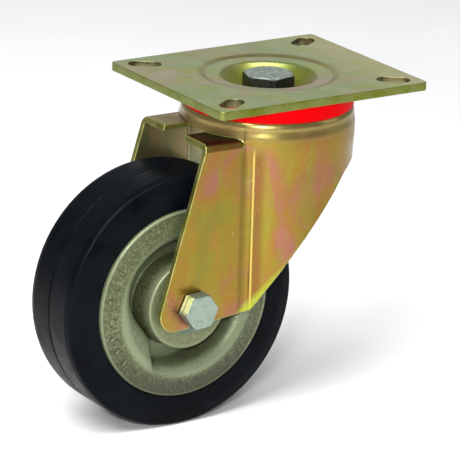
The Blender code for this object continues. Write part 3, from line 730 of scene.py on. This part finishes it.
def top_plate():
    """The slotted plate with its pressed dish."""
    x, y = PLATE_HALF_X, PLATE_HALF_Y
    outline = rounded([(x, y, PLATE_CORNER), (-x, y, PLATE_CORNER), (-x, -y, PLATE_CORNER),
                       (x, -y, PLATE_CORNER)], 8)
    plate = prism("top_plate_pressing", outline, -PLATE_THICKNESS, 0, PLATE_EDGE)
    plate.data.materials.append(OLIVE_ZINC)
    for face in plate.data.polygons:
        face.material_index = 1 if abs(face.normal.z) > 0.5 else 0
    slope = rounded([(DISH_RADIUS, 0, 0), (39.5, -0.5, 3), (37, -1.3, 3), (28.5, -1.75, 3.5),
                     (17.6, -10.5, 1.6), (0, DISH_FLOOR_Z, 0)], 5, closed=False)
    hollow = [(0, 1), (DISH_RADIUS, 1), *slope]
    under = rounded([(41, -2, 0), (41, -4.9, 0), (37.5, -6.2, 3), (30, -6.75, 4),
                     (19.6, -15.5, 2.5), (0, -15.5, 0)], 5, closed=False)
    bore = KINGPIN_RADIUS + GAP
    tools = [("UNION", lathe("dish_bulge", [(0, -2), *under], 128, OLIVE_ZINC)),
             ("DIFFERENCE", lathe("dish_hollow", hollow, 128, OLIVE_ZINC)),
             ("DIFFERENCE", lathe("plate_bore", [(0, 1), (bore, 1), (bore, -20), (0, -20)], 64,
                                  PLATE_EDGE))]
    run = (SLOT_LENGTH - SLOT_WIDTH) / 2
    slot = arc((run, 0), SLOT_WIDTH / 2, -90, 90, 18)
    slot += arc((-run, 0), SLOT_WIDTH / 2, 90, 270, 18)
    for side_x in (-1, 1):
        for side_y in (-1, 1):
            place = (Matrix.Translation((side_x * SLOT_X, side_y * SLOT_Y, 0))
                     @ Matrix.Rotation(side_x * side_y * SLOT_TURN, 4, "Z"))
            # Each slot's walls take the darkened finish, painted shade.
            tools.append(("DIFFERENCE", prism(f"slot_{side_x}_{side_y}", slot, -6, 1, SHADED_SLOT_WALL,
                                              place)))
    combined(plate, *tools)
    stands_for(eased(plate, 0.45), "mounting_plate", "plate_zinc", "top_plate")


def dust_seal():
    """The red ring, with a fine moulding line down its near side."""
    top = -PLATE_THICKNESS - GAP
    outer = 49.7
    profile = rounded([(42.6, top, 0.4), (outer, top, 0.8), (outer, -17.2, 0.35),
                       (48.9, -16.8, 0.3), (47.2, -15.2, 0.3), (47.2, top - 1.5, 0.4),
                       (42.6, top - 1.5, 0.4)], 4)
    line_turn = math.radians(238)

    def swell(turn, reach, height):
        away = (turn - line_turn) * outer
        return reach + 0.12 * math.exp(-(away / 0.5) ** 2) if reach > 49.5 else reach
    ring = lathe("dust_seal", profile, 540, RED_PLASTIC, swell=swell)
    stands_for(eased(ring, 0.05, angle=80), "mounting_plate", "red_seal", "dust_seal_ring")


def race_cup():
    """The pressed cup that carries the lower balls, seen only from below."""
    top, rim_top, wall = -25.6, -20.5, 2.5
    bottom = top - 3.6
    groove = arc((26.5, -22.35), 3.8, -90 - 31.2, -90 + 31.2, 8)
    profile = rounded([(34 - wall, rim_top, 0.8), (34, rim_top, 0.8), (34, bottom, 3.2),
                       (9.3, bottom, 0.4), (9.3, top, 0.4)], 5)
    profile += groove + [(34 - wall, top)]
    cup = lathe("race_cup", profile, 128, YELLOW_ZINC)
    stands_for(eased(cup, 0.05, angle=80), "mounting_plate", "fork_zinc", "lower_race_cup")


# ---- fork ---------------------------------------------------------------------------------


def leg_outline():
    """The fork seen from the side, as (x, z) points: everything outside it is cut away."""
    top, back = 10, 60
    lean = math.radians(16.4)               # front edge, from the vertical
    bottom_z = -133.2                       # height of the lower edge under the axle
    foot_front = SHOULDER_FRONT - (SHOULDER_Z - bottom_z) * math.tan(lean) - 0.9
    heel_x = -33
    heel_z = bottom_z + (heel_x - AXLE_X) * math.tan(math.radians(6))
    outline = rounded([(SHOULDER_FRONT, top, 0), (SHOULDER_FRONT, SHOULDER_Z, 0),
                       (foot_front, bottom_z - 2.6, 10), (heel_x, heel_z, 9),
                       (*REAR_START, 0)], 14)
    outline += sagging_arc(REAR_START, REAR_END, 2.1, 20)[1:]
    sweep = 46
    bend = (back - REAR_END[0]) / 1.6
    centre = (REAR_END[0] + bend * math.sin(math.radians(sweep)),
              REAR_END[1] - bend * math.cos(math.radians(sweep)))
    outline += arc(centre, bend, 90 + sweep, 90, 16)[1:]
    return outline + [(back, outline[-1][1]), (back, top)]


def channel(name, half, top, bend, low, front, back, material):
    """A block between the legs' faces with its two upper edges rounded, along X."""
    outline = rounded([(half, top, bend), (-half, top, bend), (-half, low, 0), (half, low, 0)],
                      12)
    turn = Matrix(((0, 0, 1), (1, 0, 0), (0, 1, 0))).to_4x4()
    return prism(name, outline, front, back, material, turn)


def drum_growth(height):
    """How far the drum's wall stands out from its plain radius at a height."""
    if height >= DRUM_SWELL[0][1] or height <= DRUM_SWELL[-1][1]:
        return 0.0
    for (upper, high), (lower, low) in zip(DRUM_SWELL, DRUM_SWELL[1:]):
        if low <= height <= high:
            share = (high - height) / (high - low)
            return upper + (lower - upper) * (0.5 - 0.5 * math.cos(math.pi * share))
    return 0.0


def drum_radius(turn, height):
    """The drum's outer radius, with its swell and the two pressed beads."""
    radius = DRUM_RADIUS + drum_growth(height)
    fade = min(1.0, max(0.0, (BEAD_TOP - height) / BEAD_FADE))
    angle = math.degrees(turn)
    for bead in (BEAD_ANGLE, 360 - BEAD_ANGLE):
        radius += BEAD_HEIGHT * fade * math.exp(-((angle - bead) / BEAD_WIDTH) ** 2)
    return radius


def drum(name, inset, top_profile, low, material):
    """The drum or the space inside it: a turned top, then a wall that follows the beads."""
    fine = [-20.5 - 0.75 * i for i in range(30)]
    coarse = [-46.0 - 5 * i for i in range(18)]
    marker = DRUM_RADIUS
    wall = [(marker, level) for level in fine + coarse + [low]]

    def swell(turn, reach, height):
        return drum_radius(turn, height) - inset if reach == marker else reach
    return lathe(name, top_profile + wall + [(0, low)], 360, material, swell=swell)


def crease_fillet(side, material):
    """Fills the sharp valley where a flat leg runs into the drum with a concave bend."""
    start_x, inside_x, radius = -38.2, -31, 6.3
    curve = arc((start_x, CHEEK_HALF + radius), radius, -90, -47.2, 10)
    outline = [(start_x, CHEEK_HALF - 2), *curve, (inside_x, CHEEK_HALF + 1),
               (inside_x, CHEEK_HALF - 2)]
    outline = [(x, side * y) for x, y in outline]
    return prism(f"crease_{side}", outline, -150, SHOULDER_Z - SHOULDER_BEND + 1, material)


def fork():
    """One pressing: the ball-race crown, the half drum behind it and two flat legs."""
    low, front = -140, -100
    steel = channel("fork_pressing", CHEEK_HALF, SHOULDER_Z, SHOULDER_BEND, low, front, -30,
                    YELLOW_ZINC)
    corner = (DRUM_RADIUS - DRUM_ROUNDING, CROWN_TOP - DRUM_ROUNDING)
    groove = arc((34, -11.2), 4.55, -90 - 33.4, -90 + 33.4, 10)
    crown = [(0, CROWN_TOP)] + groove + arc(corner, DRUM_ROUNDING, 90, 0, 10)[:-1]
    under = [(0, CROWN_TOP - SHEET)] + arc(corner, DRUM_ROUNDING - SHEET, 90, 0, 8)[:-1]
    bore = [(0, 0), (CROWN_BORE, 0), (CROWN_BORE, -24), (0, -24)]
    axle_bore = AXLE_RADIUS + GAP
    hole = [(0, 60), (axle_bore, 60), (axle_bore, -60), (0, -60)]
    standing = Matrix.Rotation(math.radians(90), 4, "X")
    combined(
        steel,
        ("UNION", crease_fillet(1, YELLOW_ZINC)),
        ("UNION", crease_fillet(-1, YELLOW_ZINC)),
        ("UNION", drum("drum_outside", 0, crown, low - 1, YELLOW_ZINC)),
        ("DIFFERENCE", channel("leg_space", CHEEK_HALF - SHEET, SHOULDER_Z - SHEET,
                               SHOULDER_BEND - SHEET, low - 2, front - 1, -25, INNER_ZINC)),
        ("DIFFERENCE", drum("drum_inside", SHEET, under, low - 3, INNER_ZINC)),
        ("INTERSECT", prism("side_outline", leg_outline(), -60, 60, FORK_CUT, standing)),
        ("DIFFERENCE", block("front_notch", (front - 2, -NOTCH_HALF, -45),
                             (-30, NOTCH_HALF, SHOULDER_Z + 0.2), FORK_CUT)),
        ("DIFFERENCE", lathe("crown_bore", bore, 96, FORK_CUT)),
        ("DIFFERENCE", lathe("axle_hole", hole, 64, FORK_CUT, place=ALONG_AXLE)))
    steel.data.materials.append(FORK_EDGE)
    eased(steel, 0.45, angle=60, segments=3, finish=FORK_EDGE)
    stands_for(steel, "swivel_fork", "fork_zinc", "fork")


# ---- wheel --------------------------------------------------------------------------------


def crest_swell(turn, reach, height):
    """Moves the recess's wall in and out round the near side, which makes the spiral lug."""
    fixed = 48                      # outside this radius the land is a plain ring
    if height < WEB_HALF - 0.1 or not 30 < reach < fixed:
        return reach
    angle = math.degrees(turn)
    edge = CREST_EDGE
    for (before, low), (after, high) in zip(LUG_EDGE, LUG_EDGE[1:]):
        if before <= angle <= after:
            edge = low + (high - low) * (angle - before) / (after - before)
    share = min(1.0, (fixed - reach) / (fixed - CREST_EDGE))
    return max(reach + (edge - CREST_EDGE) * share, BOSS_RADIUS + 2.6)


def wheel_casting():
    """The cast centre: rim with a fine lip, domed crest, deep recess, boss and spiral lug."""
    bore = 14.2
    half = rounded([(bore, 0, 0), (bore, BOSS_HALF, 0.6), (BOSS_RADIUS, BOSS_HALF, 1.3),
                    (BOSS_RADIUS + 1.6, WEB_HALF, 0.8), (33.6, WEB_HALF, 2.2),
                    (37.0, 29.1, 7.5), (53.6, 24.8, 0.6), (54.2, 25.2, 0.4), (55.0, 25.1, 0.3),
                    (RIM_RADIUS, 24.3, 0.3), (RIM_RADIUS, 0, 0)], 10, closed=False)
    far_half = [(radius, -height) for radius, height in reversed(half)]
    wheel = lathe("wheel_casting", half[1:] + far_half[1:-1] + [half[0]], 360, CAST_IRON,
                  swell=crest_swell, place=ALONG_AXLE)
    stands_for(eased(wheel, 0.5, angle=45, segments=3), "wheel", "cast_centre", "wheel_centre")


def cast_marks():
    """Plain raised beads round the land, in place of cast lettering."""
    land_radius, land_height = 49.3, 26.0
    bm = bmesh.new()
    for angle in (140, 150, 160, 170, 196, 206, 216):
        for side in (1, -1):
            centre = arc((0, 0), land_radius, angle, angle, 1)[0]
            place = Matrix.Translation((*centre, side * land_height))
            place @= Matrix.Rotation(math.radians(angle), 4, "Z")
            place @= Matrix.Diagonal((1.25, 0.55, 0.5, 1))
            bmesh.ops.create_uvsphere(bm, u_segments=20, v_segments=12, radius=2.4, matrix=place)
    marks = finished("cast_beads", bm, CAST_IRON, ALONG_AXLE)
    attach(marks, "wheel")


def rubber_tyre():
    """The tyre: bowed sides with a fine step, eased shoulders, and a parting groove."""
    inner = RIM_RADIUS + 0.25
    radius = WHEEL_RADIUS
    half = rounded([(inner, 0, 0), (inner, 23.1, 0.8), (58.5, 23.3, 3), (67, 23.1, 18),
                    (radius - 0.9, 21.2, 2.2), (radius, 17.0, 6), (radius, 0.9, 0),
                    (radius - 0.55, 0.35, 0.3), (radius - 0.55, 0, 0)], 8, closed=False)
    far_half = [(reach, -height) for reach, height in reversed(half)]
    tyre = lathe("rubber_tyre", half[1:] + far_half[1:-1] + [half[0]], 256, RUBBER,
                 place=ALONG_AXLE)
    stands_for(eased(tyre, 0.05, angle=80), "wheel", "tyre_rubber", "tyre")


def bearing_parts():
    """The hidden bearing pieces keep their own shapes, made finer, in worked steel."""
    for name, obj in frame["nodes"].items():
        rolling = "_ball_" in name and "cage" not in name
        if not (rolling or "roller" in name or "cage" in name
                or name in ("kingpin_sleeve", "axle_tube")):
            continue
        obj.data.materials.clear()
        obj.data.materials.append(CAGE_STEEL if "cage" in name else BEARING_STEEL)
        obj.data.shade_smooth()
        weld = obj.modifiers.new("weld", "WELD")
        weld.merge_threshold = 0.01 * MM
        if rolling:
            finer = obj.modifiers.new("finer", "SUBSURF")
            finer.levels = finer.render_levels = 2
        else:
            eased(obj, 0.15, angle=50)


top_plate()
kingpin()
dust_seal()
race_cup()
fork()
axle()
wheel_casting()
cast_marks()
rubber_tyre()
bearing_parts()

# ---- floor, light and camera --------------------------------------------------------------


def floor():
    f = Finish("pale_floor", 0.0, Roughness=0.75)
    drift = f.ramp(f.noise(120, 3), (0.3, (0.80, 0.80, 0.80)), (0.7, (0.83, 0.83, 0.83)))
    f.set(Base_Color=drift)
    reach = 6000
    bm = bmesh.new()
    bmesh.ops.create_grid(bm, x_segments=2, y_segments=2, size=reach)
    ground = finished("floor", bm, f.material, Matrix.Translation((0, 0, TYRE_LOW.z)))


def softbox(name, azimuth, elevation, distance, width, height, power):
    lamp = bpy.data.lights.new(name, "AREA")
    lamp.shape = "RECTANGLE"
    lamp.size = width * MM
    lamp.size_y = height * MM
    lamp.energy = power
    obj = bpy.data.objects.new(name, lamp)
    away = direction(azimuth, elevation)
    middle = Vector((-20, 0, -90))
    obj.location = (middle + away * distance) * MM
    obj.rotation_euler = away.to_track_quat("Z", "Y").to_euler()
    obj.visible_camera = False
    bpy.context.scene.collection.objects.link(obj)


def direction(azimuth, elevation):
    """A unit vector towards the viewer: azimuth 0 is -Y, elevation is above the horizon."""
    a, e = math.radians(azimuth), math.radians(elevation)
    return Vector((math.sin(a) * math.cos(e), -math.cos(a) * math.cos(e), math.sin(e)))


def camera():
    """A long lens at the photo's viewing angle."""
    azimuth, elevation, roll = -33.1, 18.0, math.radians(1.7)
    distance, across, up = 2036.0, -19.4, -91.6
    back = direction(azimuth, elevation)
    right = Vector((math.cos(math.radians(azimuth)), math.sin(math.radians(azimuth)), 0))
    rise = back.cross(right)
    spot = right * across + rise * up + back * distance
    tilted_right = right * math.cos(roll) + rise * math.sin(roll)
    tilted_up = rise * math.cos(roll) - right * math.sin(roll)
    lens = bpy.data.cameras.new("camera")
    lens.sensor_width = 36
    lens.lens = 277.5
    lens.clip_start = 0.05
    lens.clip_end = 50
    obj = bpy.data.objects.new("camera", lens)
    turn = Matrix((tilted_right, tilted_up, back)).transposed().to_4x4()
    obj.matrix_world = Matrix.Translation(spot * MM) @ turn
    bpy.context.scene.collection.objects.link(obj)
    bpy.context.scene.camera = obj


def sky():
    world = bpy.data.worlds.new("studio")
    world.use_nodes = True
    backdrop = world.node_tree.nodes["Background"]
    backdrop.inputs["Color"].default_value = (0.95, 0.97, 1.0, 1)
    backdrop.inputs["Strength"].default_value = 0.35
    bpy.context.scene.world = world


floor()
sky()
softbox("key", -60, 50, 1500, 700, 700, 22)
softbox("overhead", -20, 78, 1600, 1500, 1100, 26)
softbox("back_panel", 147, 24, 1700, 1100, 500, 0.95)
softbox("front_panel", -38, 20, 1300, 170, 100, 11)
softbox("right_fill", 60, 20, 1800, 600, 900, 2)
camera()
bpy.context.scene.view_settings.view_transform = "Standard"
